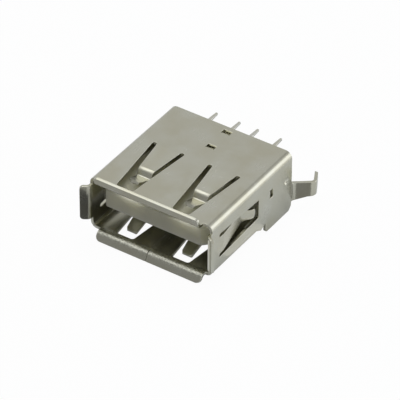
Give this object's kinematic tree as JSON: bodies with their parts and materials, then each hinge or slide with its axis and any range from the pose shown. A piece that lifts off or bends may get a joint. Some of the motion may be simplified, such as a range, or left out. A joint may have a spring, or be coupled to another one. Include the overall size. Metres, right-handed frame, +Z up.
{
  "type": "vertical usb-a socket",
  "caption": "Vertical board socket with a folded metal shell, flared mouth, spring fingers, a moulded tongue with sprung contacts, straight pins and board legs.",
  "frame": {"origin": "middle of the box's lowest face, where the lying socket meets the surface", "axes": "+X across the mouth, +Y from the mouth to the board side, +Z up through the thin way"},
  "size_m": [0.0162, 0.017, 0.0072],
  "materials": {
    "shell": "satin nickel plating",
    "housing": "smooth moulded",
    "contact": "bright tin plating"
  },
  "bodies": {
    "root": {"shell": "shell", "housing": "housing", "contact_1": "contact", "contact_2": "contact", "contact_3": "contact", "contact_4": "contact"}
  },
  "joints": []
}
